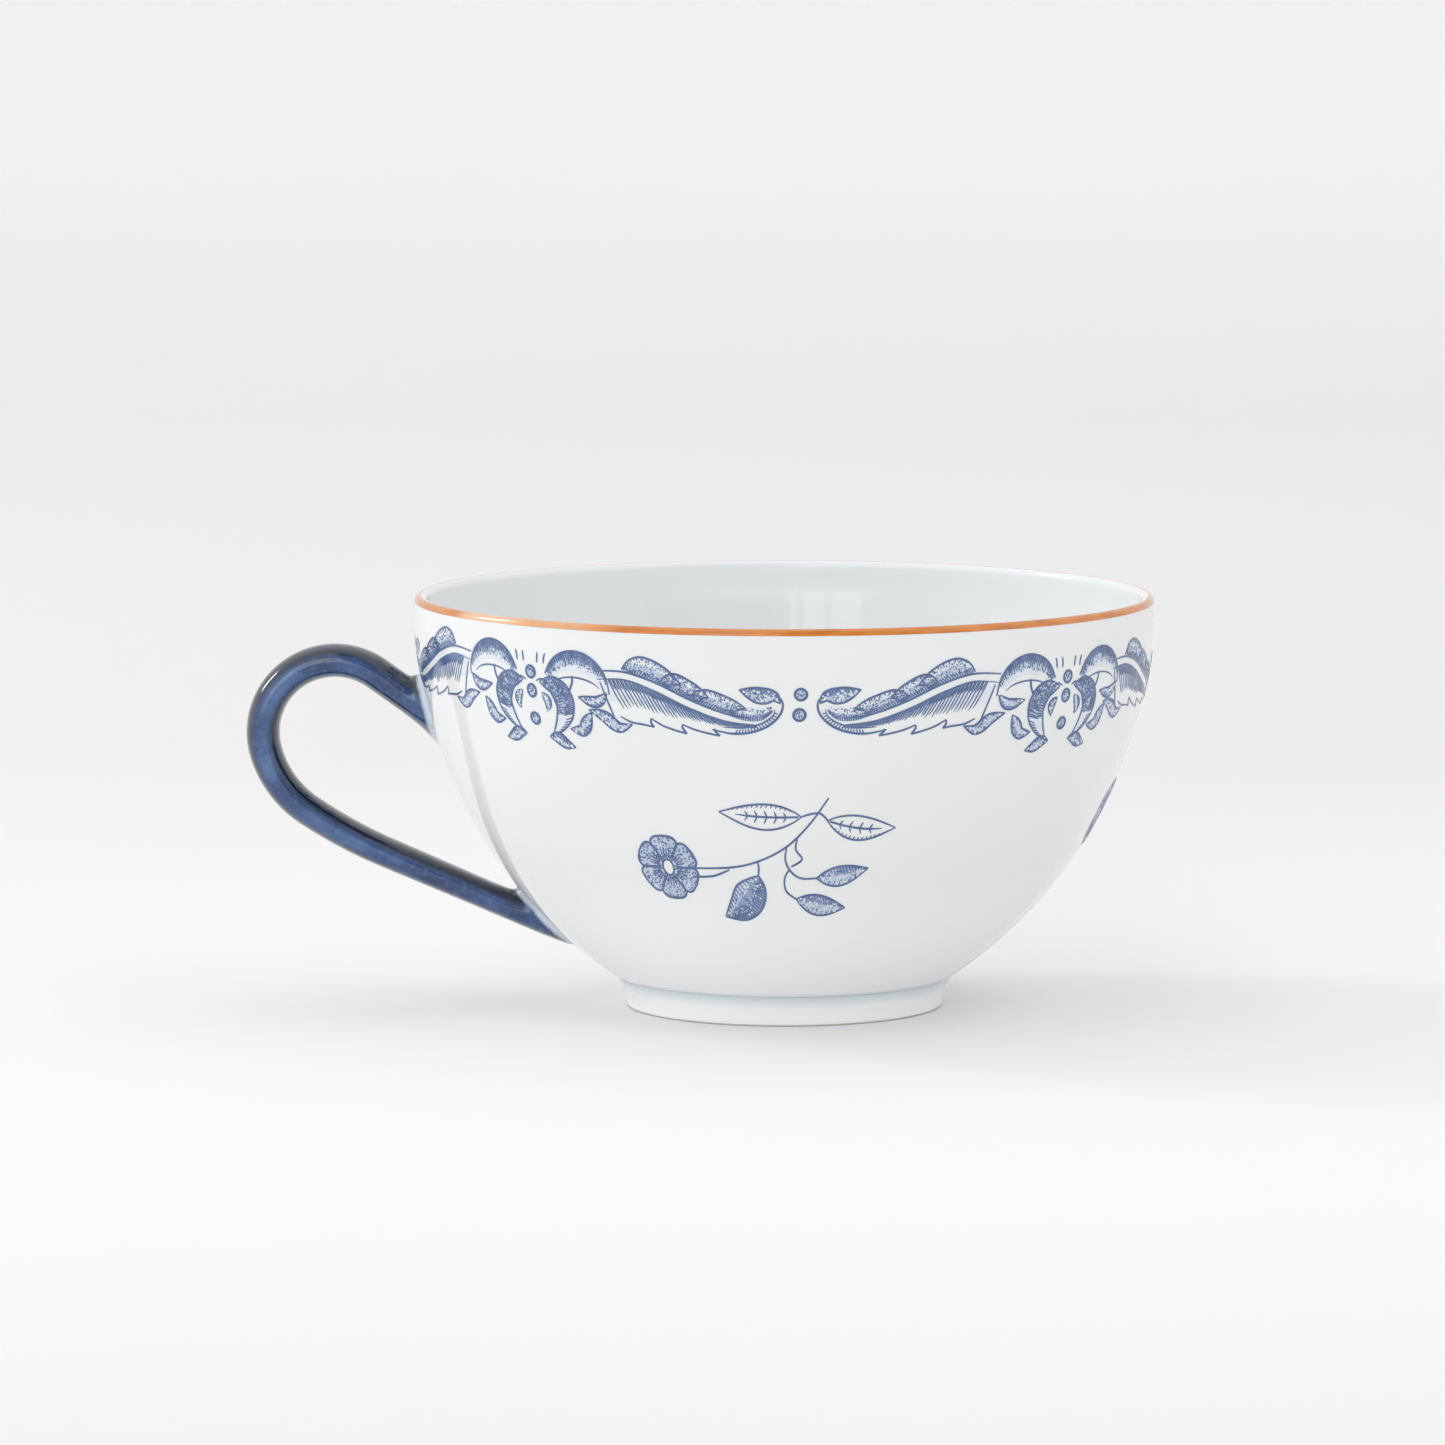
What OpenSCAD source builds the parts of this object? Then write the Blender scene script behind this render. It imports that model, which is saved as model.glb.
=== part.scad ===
// Teacup: a wide bowl on a turned foot ring, with a luted loop handle, a painted
// lip and blue transfer decoration.
// Millimetres, +Z up. The origin is where the bowl's axis meets the table.
// The handle points along -X and the front of the cup faces -Y.

/* [Bowl] */
// Diameter across the lip
rim_d = 108; // [106:0.5:110]
// Height of the lip above the table
cup_h = 60.5; // [59.5:0.5:62]
// Thickness of the wall at the lip
lip_t = 1.9; // [1.6:0.1:2.2]
// Thickness of the wall where it meets the foot
base_t = 4.2; // [3.8:0.1:4.6]
// Height of the straight band under the lip
straight_h = 3; // [2:0.5:4]
// Radius of the wall's curve under the straight band
upper_r = 50; // [48:1:52]
// Angle that the upper curve turns through
upper_turn = 14; // [13:1:15]
// Radius of the flatter curve at mid height
middle_r = 82; // [80:1:84]
// Angle that the middle curve turns through
middle_turn = 10; // [9:1:11]
// Radius of the curve that closes in to the foot
lower_r = 64; // [62:1:66]
// Radius of the curve between the inside wall and the inside floor
floor_r = 18; // [14:1:22]

/* [Foot ring] */
// Diameter of the foot ring
foot_d = 46.4; // [45:0.2:48]
// Width of the ring, from its outer to its inner side
foot_w = 2.6; // [2.2:0.1:3]
// How far the ring's outer side pulls in below the wall
foot_waist = 1.5; // [1.2:0.1:1.8]
// Height of the hollow under the cup
recess_h = 1.8; // [1.4:0.1:2]
// Radius of the ring's two lower edges
foot_edge_r = 0.5; // [0.3:0.1:0.7]

/* [Handle] */
// Distance from the bowl's axis to the centre of the loop
loop_x = 65.7; // [65.2:0.1:66.2]
// Height of the centre of the loop
loop_z = 40; // [39.6:0.1:40.4]
// Radius of the loop's centre line
loop_r = 10.6; // [10.2:0.1:11]
// Slope of the upper stretch, from level
upper_slope = 35.5; // [34.5:0.5:36.5]
// Radius of the elbow below the loop
elbow_r = 15.5; // [15:0.1:16]
// Radius of the gentle bend between the elbow and the lower stretch
sweep_r = 70; // [64:2:76]
// Slope of the lower stretch, from level
lower_slope = 23.2; // [22.8:0.1:23.6]
// Thickness of the handle on the loop
handle_t = 4.9; // [4.4:0.1:5.4]
// Thickness of the handle at the lower joint
handle_low_t = 4.2; // [3.8:0.1:4.6]
// Width of the handle across its thickness
handle_w = 7.6; // [7:0.2:9]
// Length of the straight upper stretch, from the upper joint to the loop
upper_l = 3.2; // [2.8:0.1:3.6]
// Length of the straight lower stretch, down to the lower joint
lower_l = 14; // [13:0.5:14.5]

/* [Slip joints] */
// Lowest point of the upper joint on the wall
upper_root_low = 36.6; // [36:0.2:37]
// Highest point of the upper joint on the wall
upper_root_high = 49.4; // [49:0.2:49.8]
// Lowest point of the lower joint on the wall
lower_root_low = 8.2; // [8:0.2:8.6]
// Highest point of the lower joint on the wall
lower_root_high = 19.4; // [19:0.2:19.8]
// How far the joints flare out beyond each side of the handle
root_flare = 1.4; // [0.8:0.1:1.8]

/* [Decoration] */
// Width of the painted line below the lip's round
line_w = 0.1; // [0.1:0.1:0.6]
// Thickness of the painted line and of the transfers
print_t = 0.1; // [0.06:0.02:0.14]
// Depth of the printed border's middle below the lip
border_drop = 9.6; // [9:0.2:10.2]
// Depth of the sprigs' middle below the lip
sprig_drop = 31; // [30:0.5:32]
// Turn of the border's dots from the front of the cup
border_turn = 2.4; // [0:0.2:4]
// Turn of the sprigs' middle from the front of the cup
sprig_turn = -2; // [-4:0.5:0]
// How much further round than a quarter turn the right-hand sprig sits
sprig_lag = 12; // [10:1:14]
// How much higher the right-hand sprig sits than the front one
sprig_rise = 3.8; // [3:0.2:4.6]
// How much higher the border rides above the handle than at the front
border_rise = 2.3; // [1.5:0.1:2.5]

/* [Hidden] */
$fn = 96;

porcelain = [0.93, 0.95, 0.97];
handle_blue = [0.22, 0.32, 0.58];
print_blue = [0.28, 0.36, 0.62];
line_orange = [0.85, 0.50, 0.25];

// --- the wall's outline, as [radius, height, lean] from the lip down to the foot ---

// Points of a wall curve that starts at w and turns on to a lean of a1
function bend(w, r, a1, n) = [
    for (i = [1 : n])
        let (a = w[2] + (a1 - w[2]) * i / n)
        [w[0] - r * (cos(w[2]) - cos(a)), w[1] - r * (sin(a) - sin(w[2])), a]
];
function last(list) = list[len(list) - 1];
function reversed(list) = [for (i = [len(list) - 1 : -1 : 0]) list[i]];

rim_r = rim_d / 2;
lip_r = lip_t / 2;
foot_r = foot_d / 2;
crease_r = foot_r + foot_waist;

wall_top = [[rim_r, cup_h - lip_r, 0], [rim_r, cup_h - straight_h, 0]];
wall_upper = bend(last(wall_top), upper_r, upper_turn, 6);
wall_middle = bend(last(wall_upper), middle_r, upper_turn + middle_turn, 5);
middle_end = last(wall_middle);
crease_lean = acos(cos(middle_end[2]) - (middle_end[0] - crease_r) / lower_r);
wall_lower = bend(middle_end, lower_r, crease_lean, 12);
wall = concat(wall_top, wall_upper, wall_middle, wall_lower);
crease_z = last(wall)[1];

// The wall's outline moved out by d along its own normal
function wall_at(d) = [for (w = wall) [w[0] + d * cos(w[2]), w[1] - d * sin(w[2])]];
// Thickness of the wall where it leans by a
function wall_t(a) = lip_t + (base_t - lip_t) * a / crease_lean;
inside = [
    for (w = wall)
        let (t = wall_t(w[2]))
        [w[0] - t * cos(w[2]), w[1] + t * sin(w[2]), w[2]]
];
inside_floor = bend(last(inside), floor_r, 90, 8);
lip_arc = [
    for (a = [15 : 15 : 165])
        [rim_r - lip_r + lip_r * cos(a), cup_h - lip_r + lip_r * sin(a)]
];

function flat(list) = [for (w = list) [w[0], w[1]]];

// Inner corner of the foot ring, where the hollow under the cup starts
hollow = [foot_r - foot_w - 0.4, recess_h];

module bowl() {
    color(porcelain)
    rotate_extrude()
    polygon(concat(
        reversed(lip_arc),
        wall_at(0),
        [hollow, [0, recess_h + 0.4], [0, last(inside_floor)[1]]],
        reversed(flat(inside_floor)),
        reversed(flat(inside))
    ));
}

// --- the foot ring ---

// The outer side: a cove that steepens evenly from the crease to the lower edge
foot_cove = [
    for (t = [0 : 0.125 : 1])
        [crease_r - foot_waist * (1 - (1 - t) ^ 2), crease_z - (crease_z - foot_edge_r) * t]
];
// Rounded lower edge; side is 1 on the ring's outer side and -1 on its inner side
function foot_edge(r, side) = [
    for (a = [0 : 30 : 90])
        [r - side * foot_edge_r * (1 - cos(a)), foot_edge_r * (1 - sin(a))]
];

module foot_ring() {
    color(porcelain)
    rotate_extrude()
    polygon(concat(
        foot_cove,
        [for (p = foot_edge(foot_r, 1)) if (p[1] < foot_edge_r) p],
        reversed(foot_edge(foot_r - foot_w, -1)),
        [hollow]
    ));
}

// --- the handle: one path from the upper joint, round the loop, to the lower joint ---

// Each path point is [x, z, heading], with the heading turning anticlockwise
elbow_start = 286;
sweep_start = 326;
lower_heading = 360 - lower_slope;

function step(p, d) = [p[0] + d * cos(p[2]), p[1] + d * sin(p[2]), p[2]];
function swing(p, r, heading) = [
    p[0] + r * (sin(heading) - sin(p[2])),
    p[1] - r * (cos(heading) - cos(p[2])),
    heading
];

loop_in = [
    loop_r * cos(90 - upper_slope) - loop_x,
    loop_z + loop_r * sin(90 - upper_slope),
    180 - upper_slope
];
elbow_in = swing(loop_in, loop_r, elbow_start);
sweep_in = swing(elbow_in, elbow_r, sweep_start);
lower_in = swing(sweep_in, sweep_r, lower_heading);

// The points of a curve that starts at p and turns on to a heading
function curved(p, r, heading, n) = [
    for (i = [1 : n]) swing(p, r, p[2] + (heading - p[2]) * i / n)
];

upper_rings = 2;
loop_rings = 20;
elbow_rings = 6;
sweep_rings = 4;
lower_rings = 4;
path = concat(
    [for (i = [0 : upper_rings]) step(loop_in, upper_l * (i / upper_rings - 1))],
    curved(loop_in, loop_r, elbow_start, loop_rings),
    curved(elbow_in, elbow_r, sweep_start, elbow_rings),
    curved(sweep_in, sweep_r, lower_heading, sweep_rings),
    [for (i = [1 : lower_rings]) step(lower_in, lower_l * i / lower_rings)]
);

// The handle thins evenly from the elbow to its lower end
thin_from = upper_rings + loop_rings;
thin_to = len(path) - 1;
function thinned(i) = min(1, max(0, (i - thin_from) / (thin_to - thin_from)));
function half_t(i) = (handle_t + (handle_low_t - handle_t) * thinned(i)) / 2;

ring_sides = 16;
// Closed ring round [x, z] whose thickness lies along the normal of a heading
function ring(x, z, heading, thick, wide) = [
    for (k = [0 : ring_sides - 1])
        let (a = 360 * k / ring_sides, t = thick * cos(a))
        [x - t * sin(heading), wide * sin(a), z + t * cos(heading)]
];
function path_ring(i) = let (p = path[i]) ring(p[0], p[1], p[2], half_t(i), handle_w / 2);

// Closed solid through a list of rings
module loft(rings) {
    n = ring_sides;
    end = len(rings) - 1;
    polyhedron(
        points = [for (r = rings) each r],
        faces = concat(
            [[for (k = [0 : n - 1]) k]],
            [
                for (i = [0 : end - 1], k = [0 : n - 1])
                    let (m = (k + 1) % n)
                    each [
                        [i * n + k, (i + 1) * n + k, (i + 1) * n + m],
                        [i * n + k, (i + 1) * n + m, i * n + m]
                    ]
            ],
            [[for (k = [n - 1 : -1 : 0]) end * n + k]]
        )
    );
}

module handle() {
    color(handle_blue)
    loft([for (i = [0 : len(path) - 1]) path_ring(i)]);
}

// --- the slip joints: each flares from the handle's end ring to a ring in the wall ---

root_steps = 7;
root_sink = 1.2;
root_w = handle_w / 2 + root_flare;

// Lean and radius of the outer wall at height z
function wall_row(z) = [for (i = [1 : len(wall) - 1]) if (wall[i][1] <= z && wall[i - 1][1] > z) i][0];
function wall_mix(z, col) =
    let (i = wall_row(z), t = (wall[i - 1][1] - z) / (wall[i - 1][1] - wall[i][1]))
    wall[i - 1][col] * (1 - t) + wall[i][col] * t;

// Ring sunk into the wall between heights z_low and z_high, as seen from +Y going
// up the wall when up is 1 and down it when up is -1
function root_ring(z_low, z_high, up) =
    let (
        z = (z_low + z_high) / 2,
        a = wall_mix(z, 2),
        r = wall_mix(z, 0) - root_sink * cos(a),
        reach = (z_high - z_low) / 2 / cos(a)
    )
    [
        for (k = [0 : ring_sides - 1])
            let (b = 360 * k / ring_sides, t = up * reach * cos(b))
            [-r - t * sin(a), root_w * sin(b), z + root_sink * sin(a) + t * cos(a)]
    ];

function middle(list) = [for (j = [0 : 2]) ([for (p = list) p[j]] * [for (p = list) 1]) / len(list)];

// Rings from ring a to ring b. Each side is a smooth curve that leaves a along the
// handle's direction dir and turns out along the wall as it reaches b.
root_lead = 0.5;
root_spread = 0.5;
function side_curve(t, p, q, dir, out) =
    (2 * t ^ 3 - 3 * t ^ 2 + 1) * p + (3 * t ^ 2 - 2 * t ^ 3) * q
    + (t ^ 3 - 2 * t ^ 2 + t) * root_lead * norm(q - p) * dir
    + (t ^ 3 - t ^ 2) * root_spread * out;
function flared(a, b, dir) = [
    for (i = [0 : root_steps])
        [for (k = [0 : ring_sides - 1]) side_curve(i / root_steps, a[k], b[k], dir, b[k] - middle(b))]
];

// The bowl's outer surface as a full solid, which the joints are cut to
module wall_solid() {
    rotate_extrude()
    polygon(concat([[0, cup_h - lip_r]], wall_at(0), [[0, crease_z]]));
}

module upper_joint() {
    color(handle_blue)
    difference() {
        loft(reversed(flared(
            path_ring(0),
            root_ring(upper_root_low, upper_root_high, -1),
            [cos(upper_slope), 0, -sin(upper_slope)]
        )));
        wall_solid();
    }
}

module lower_joint() {
    color(handle_blue)
    difference() {
        loft(flared(
            path_ring(len(path) - 1),
            root_ring(lower_root_low, lower_root_high, 1),
            [cos(lower_slope), 0, -sin(lower_slope)]
        ));
        wall_solid();
    }
}

// --- the painted line over the lip, from its outer side to just past its crest ---

line_end = 105;

module rim_line() {
    line_arc = [
        for (a = [0 : 15 : line_end])
            let (r = lip_r + print_t)
            [rim_r - lip_r + r * cos(a), cup_h - lip_r + r * sin(a)]
    ];
    color(line_orange)
    rotate_extrude()
    polygon(concat(
        [[rim_r, cup_h - lip_r - line_w], [rim_r + print_t, cup_h - lip_r - line_w]],
        line_arc,
        [for (i = [line_end / 15 - 1 : -1 : 0]) lip_arc[i]],
        [[rim_r, cup_h - lip_r]]
    ));
}

// --- the transfers: outlines drawn flat, then laid on the wall ---

// A thin skin over the whole wall
module wall_skin() {
    rotate_extrude()
    polygon(concat(wall_at(0), reversed(wall_at(print_t))));
}

// Lays flat outlines on the wall: x runs round the cup from the given turn, and
// y is the height above the given drop below the lip
module on_wall(turn, drop) {
    intersection() {
        wall_skin();
        rotate([0, 0, turn])
        translate([0, 0, cup_h - drop])
        rotate([90, 0, 0])
        linear_extrude(rim_r + 2)
        children();
    }
}

// A leaf along +x with a bowed spine and lobed edges
module leaf(length, width, bow, lobes) {
    steps = 24;
    function spine(u) = [length * u, bow * sin(180 * u)];
    function edge(u, side) =
        let (notch = lobes > 0 ? 0.16 * cos(360 * lobes * u) : 0)
        spine(u) + [0, side * width / 2 * sin(180 * pow(u, 0.8)) * (1 - notch)];
    polygon(concat(
        [for (i = [0 : steps]) edge(i / steps, 1)],
        [for (i = [steps - 1 : -1 : 1]) edge(i / steps, -1)]
    ));
}

// A stroke of even width along a bowed line from the origin
module stroke(length, width, bow) {
    steps = 12;
    polygon(concat(
        [for (i = [0 : steps]) [length * i / steps, bow * sin(180 * i / steps) + width / 2]],
        [for (i = [steps : -1 : 0]) [length * i / steps, bow * sin(180 * i / steps) - width / 2]]
    ));
}

// An open scroll: most of a ring, with a round eye
module scroll(r) {
    difference() {
        circle(r);
        circle(r * 0.62);
        translate([0, -r * 0.7]) square([r * 2.4, r * 0.5], center = true);
    }
    circle(r * 0.3);
}

// How far the border rides up at an angle from the front, all of it on the handle's side
rise_span = 170;
function border_lift(a) =
    let (b = a > 180 ? a - 360 : a)
    b < 0 && b > -rise_span ? border_rise * sin(180 * b / rise_span) ^ 2 : 0;

// One quarter of the border: dots at the given drops, a leaf on each side of them,
// and a cluster of scrolls half way to the next quarter's dots
dot_drops = [border_drop - 0.3, border_drop + 2.7];
dot_r = 1;
leaf_l = 25;
leaf_w = 7.5;
leaf_turn = 16;
cluster_turn = 46;
module border_strip(quarter, drops) {
    turn = quarter + border_turn;
    color(print_blue) {
        for (drop = drops)
            on_wall(turn, drop - border_lift(turn)) circle(dot_r);
        for (side = [-1, 1]) {
            on_wall(turn + side * leaf_turn, border_drop - border_lift(turn + side * leaf_turn))
            mirror([side < 0 ? 0 : 1, 0])
            translate([-leaf_l / 2, -2])
            rotate(8)
            leaf(leaf_l, leaf_w, 1.4, 6);
        }
        on_wall(turn + cluster_turn, border_drop - 1 - border_lift(turn + cluster_turn))
        for (side = [-1, 1]) {
            translate([side * 5.4, 0.4])
            mirror([side < 0 ? 0 : 1, 0])
            scroll(4);
            translate([side * 1.2, -2])
            rotate(side > 0 ? -52 : -128)
            leaf(10, 3, side * 0.9, 0);
        }
        on_wall(turn + cluster_turn, border_drop + 4.4 - border_lift(turn + cluster_turn))
        circle(dot_r);
    }
}

module border_front() { border_strip(0, dot_drops); }
module border_right() { border_strip(90, dot_drops); }
module border_back() { border_strip(180, dot_drops); }
// The handle's upper joint takes the place of the lower dot
module border_left() { border_strip(270, [dot_drops[0]]); }

// A flower on a bowed stem with leaves
module sprig(quarter, rise = 0) {
    petals = 6;
    color(print_blue)
    on_wall(quarter + sprig_turn, sprig_drop - rise) {
        translate([-17, -2])
        difference() {
            union() {
                circle(2.4);
                for (k = [0 : petals - 1])
                    rotate(360 * k / petals) translate([2.6, 0]) circle(1.7);
            }
            circle(0.9);
        }
        translate([-13, -2]) rotate(20) stroke(21, 0.5, -2.6);
        translate([5, 5.5]) rotate(170) leaf(13, 3.2, 0.3, 0);
        translate([6, 4.5]) rotate(-6) leaf(11, 3.2, 0.3, 0);
        translate([-3, -1.2]) rotate(-115) leaf(7, 4.6, 0.2, 0);
        translate([2, 0.5]) rotate(-62) stroke(8, 0.4, -0.8);
        translate([4.6, -2.6]) rotate(8) leaf(8, 2.6, 0.3, 0);
        translate([4, -6]) rotate(-12) leaf(7.4, 2.8, 0.2, 0);
    }
}

module sprig_front() { sprig(0); }
module sprig_right() { sprig(90 + sprig_lag, sprig_rise); }
module sprig_back() { sprig(180); }

bowl();
foot_ring();
handle();
upper_joint();
lower_joint();
rim_line();
border_front();
border_right();
border_back();
border_left();
sprig_front();
sprig_right();
sprig_back();
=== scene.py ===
"""Blender looks for the teacup: white glazed porcelain, a blue handle, a painted lip
and a blue printed border with flower sprigs.

Shapes are worked out in millimetres, in the CAD part's own frame: the bowl's axis is
+Z, the handle points along -X and the front faces -Y. MM turns them into metres.
"""
import itertools
import math
import random

import bpy
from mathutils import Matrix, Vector


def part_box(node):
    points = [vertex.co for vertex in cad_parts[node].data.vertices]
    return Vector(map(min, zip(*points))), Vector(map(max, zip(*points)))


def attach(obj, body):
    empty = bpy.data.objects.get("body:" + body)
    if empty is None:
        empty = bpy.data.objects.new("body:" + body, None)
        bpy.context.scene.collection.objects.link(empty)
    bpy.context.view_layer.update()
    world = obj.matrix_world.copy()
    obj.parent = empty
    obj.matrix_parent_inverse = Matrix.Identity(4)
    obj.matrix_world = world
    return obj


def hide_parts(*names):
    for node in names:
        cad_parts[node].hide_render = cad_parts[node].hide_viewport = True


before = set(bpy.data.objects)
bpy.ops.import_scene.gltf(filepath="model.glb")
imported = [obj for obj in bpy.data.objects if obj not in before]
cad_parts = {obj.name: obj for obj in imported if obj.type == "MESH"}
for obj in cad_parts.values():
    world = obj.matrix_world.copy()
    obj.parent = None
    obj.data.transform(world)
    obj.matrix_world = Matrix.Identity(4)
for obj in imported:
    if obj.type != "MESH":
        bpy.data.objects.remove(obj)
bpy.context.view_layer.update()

MM = 0.001
SCENE = bpy.context.scene

# --- the cup's driving sizes, as in the CAD part, in millimetres ---
BOWL_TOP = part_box("bowl")[1]
RIM_R = round(BOWL_TOP.x / MM, 1)
CUP_H = round(BOWL_TOP.z / MM, 1)
LIP_T = 1.9
BASE_T = 4.2
STRAIGHT_H = 3.0
WALL_ARCS = [(50.0, 14.0), (82.0, 10.0)]  # radius and turn of each upper wall curve
LOWER_R = 64.0
FLOOR_R = 18.0
FOOT_R = 23.2
FOOT_W = 2.6
FOOT_WAIST = 1.5
FOOT_EDGE_R = 0.5
FOOT_DRAFT = 0.4         # how much wider the foot's inside is at the floor than at the bowl
RECESS_H = 1.8
RECESS_DOME = 0.4
CREASE_R = FOOT_R + FOOT_WAIST
LIP_R = LIP_T / 2
WALL_STEP = 0.8          # spacing of the wall's rows
FLOOR_STEPS = 14
ROUND_STEPS = 288

# --- the handle's path, in millimetres and degrees ---
LOOP_X, LOOP_Z, LOOP_R = 65.7, 40.0, 10.6
UPPER_SLOPE, LOWER_SLOPE = 35.5, 23.2
ELBOW_R, ELBOW_START = 15.5, 286.0
SWEEP_R, SWEEP_START = 70.0, 326.0
UPPER_L, LOWER_L = 3.2, 14.0
HANDLE_T, HANDLE_LOW_T, HANDLE_W = 4.9, 4.2, 7.6
UPPER_ROOT = (37.2, 48.8)  # the heights between which each joint meets the wall
LOWER_ROOT = (9.0, 18.8)
ROOT_FLARE = 1.2
ROOT_SUNK = 0.12         # how deep under the glaze the joints end
UPPER_HOLD = 1.5         # how near the wall the joints' sides come before they turn out
LOWER_HOLD = 0.5
FADE_GAP = 1.5           # the blue fades where it is nearer to the wall than this
HANDLE_SIDES = 48
UPPER_STEPS, LOOP_STEPS, BEND_STEPS, JOINT_STEPS = 6, 60, 24, 26

# --- the decoration's places, in millimetres and degrees ---
BORDER_TURN = 2.4
BORDER_RISE = 2.3        # how much higher the border rides above the handle
RISE_SPAN = 170.0        # how far round on the handle's side it rises and falls again
SPRIG_TURN = -2.0
SPRIG_LAG = 12.0         # how much further round the right-hand sprig sits
SPRIG_RISE = 3.8         # how much higher it sits


def rad(a):
    return math.radians(a)


# ---- the wall's outline ----

def along(r, z, lean, curve_r, end):
    """Radius and height where a wall curve has leaned in from lean to end."""
    return (
        r - curve_r * (math.cos(lean) - math.cos(end)),
        z - curve_r * (math.sin(end) - math.sin(lean)),
    )


def wall_curves():
    """Each wall curve as (start radius, start height, start lean, curve radius, end lean)."""
    r, z, lean = RIM_R, CUP_H - STRAIGHT_H, 0.0
    curves = []
    for curve_r, turn in WALL_ARCS:
        end = lean + rad(turn)
        curves.append((r, z, lean, curve_r, end))
        r, z = along(*curves[-1])
        lean = end
    end = math.acos(math.cos(lean) - (r - CREASE_R) / LOWER_R)
    curves.append((r, z, lean, LOWER_R, end))
    return curves


CURVES = wall_curves()
CREASE_LEAN = CURVES[-1][4]
CREASE_Z = along(*CURVES[-1])[1]


def wall_at(z):
    """Radius and lean of the outer wall at height z."""
    if z >= CURVES[0][1]:
        return RIM_R, 0.0
    for r, z0, lean, curve_r, end in CURVES:
        a = math.asin(min(1.0, math.sin(lean) + (z0 - z) / curve_r))
        if a <= end + 1e-9:
            break
    return along(r, z0, lean, curve_r, a)[0], a


def wall_point(x, depth, lift):
    """A point on the outer wall: x runs round the cup at the lip's radius, from the
    front towards +X, and depth is down from the lip. lift is out along the normal."""
    r, lean = wall_at(CUP_H - depth)
    out = r + lift * math.cos(lean)
    a = x / RIM_R
    return (out * math.sin(a), -out * math.cos(a), CUP_H - depth - lift * math.sin(lean))


def wall_thickness(lean):
    """The wall grows thicker as it leans in, down to the foot."""
    return LIP_T + (BASE_T - LIP_T) * lean / CREASE_LEAN


def outer_rows():
    """The outer wall from the lip down to the foot, as (radius, height, lean)."""
    rows = [(RIM_R, CUP_H - LIP_R - k * 0.5, 0.0) for k in range(4)]
    rows.append((RIM_R, CUP_H - STRAIGHT_H, 0.0))
    for r, z, lean, curve_r, end in CURVES:
        n = max(3, round(curve_r * (end - lean) / WALL_STEP))
        for k in range(1, n + 1):
            a = lean + (end - lean) * k / n
            rows.append((*along(r, z, lean, curve_r, a), a))
    return rows


# ---- mesh helpers ----

def mesh_object(name, verts, faces, materials):
    """A smooth-shaded mesh from points in millimetres."""
    mesh = bpy.data.meshes.new(name)
    mesh.from_pydata([Vector(v) * MM for v in verts], [], faces)
    for m in materials:
        mesh.materials.append(m)
    mesh.polygons.foreach_set("use_smooth", [True] * len(mesh.polygons))
    mesh.validate()
    mesh.update()
    obj = bpy.data.objects.new(name, mesh)
    SCENE.collection.objects.link(obj)
    return obj


def lathe(name, outline, materials):
    """Turns a closed outline of (radius, height) points about the Z axis. A point on
    the axis becomes one vertex."""
    verts, rings = [], []
    for r, z in outline:
        if r < 1e-6:
            rings.append([len(verts)])
            verts.append((0.0, 0.0, z))
            continue
        rings.append(list(range(len(verts), len(verts) + ROUND_STEPS)))
        for k in range(ROUND_STEPS):
            a = 2 * math.pi * k / ROUND_STEPS
            verts.append((r * math.cos(a), r * math.sin(a), z))
    faces = []
    for upper, lower in zip(rings, rings[1:] + rings[:1]):
        if len(upper) == 1 and len(lower) == 1:
            continue
        for k in range(ROUND_STEPS):
            m = (k + 1) % ROUND_STEPS
            if len(upper) == 1:
                faces.append((upper[0], lower[k], lower[m]))
            elif len(lower) == 1:
                faces.append((upper[m], upper[k], lower[0]))
            else:
                faces.append((upper[m], upper[k], lower[k], lower[m]))
    return mesh_object(name, verts, faces, materials)


# ---- materials ----

def grey(level):
    return (level, level, level)


def new_material(name):
    """A new material with its nodes, links and main shader."""
    material = bpy.data.materials.new(name)
    material.use_nodes = True
    nodes = material.node_tree.nodes
    return material, nodes, material.node_tree.links, nodes["Principled BSDF"]


def glaze(shader, roughness=0.09, coat=0.15, ior=1.5):
    """The clear, glassy surface that every glazed piece shares."""
    shader.inputs["Roughness"].default_value = roughness
    shader.inputs["IOR"].default_value = ior
    shader.inputs["Coat Weight"].default_value = coat
    shader.inputs["Coat Roughness"].default_value = 0.03
    shader.inputs["Coat IOR"].default_value = 1.5


def noise(nodes, links, scale, detail, stretch=(1, 1, 1)):
    """Noise in the object's own metres, stretched along an axis where asked."""
    place = nodes.new("ShaderNodeTexCoord")
    mapping = nodes.new("ShaderNodeMapping")
    mapping.inputs["Scale"].default_value = stretch
    texture = nodes.new("ShaderNodeTexNoise")
    texture.inputs["Scale"].default_value = scale
    texture.inputs["Detail"].default_value = detail
    links.new(place.outputs["Object"], mapping.inputs["Vector"])
    links.new(mapping.outputs["Vector"], texture.inputs["Vector"])
    return texture.outputs["Fac"]


def ramp(nodes, links, value, stops):
    """A colour ramp over value, from (position, (r, g, b)) stops."""
    node = nodes.new("ShaderNodeValToRGB")
    elements = node.color_ramp.elements
    while len(elements) < len(stops):
        elements.new(0.5)
    for element, (position, colour) in zip(elements, stops):
        element.position = position
        element.color = (*colour, 1)
    links.new(value, node.inputs["Fac"])
    return node.outputs["Color"]


def mix(nodes, links, factor, a, b):
    """a where factor is 0 and b where it is 1. Each is a colour or an output."""
    node = nodes.new("ShaderNodeMix")
    node.data_type = "RGBA"
    for socket, value in ((node.inputs["A"], a), (node.inputs["B"], b)):
        if isinstance(value, tuple):
            socket.default_value = (*value, 1)
        else:
            links.new(value, socket)
    links.new(factor, node.inputs["Factor"])
    return node.outputs["Result"]


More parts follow.
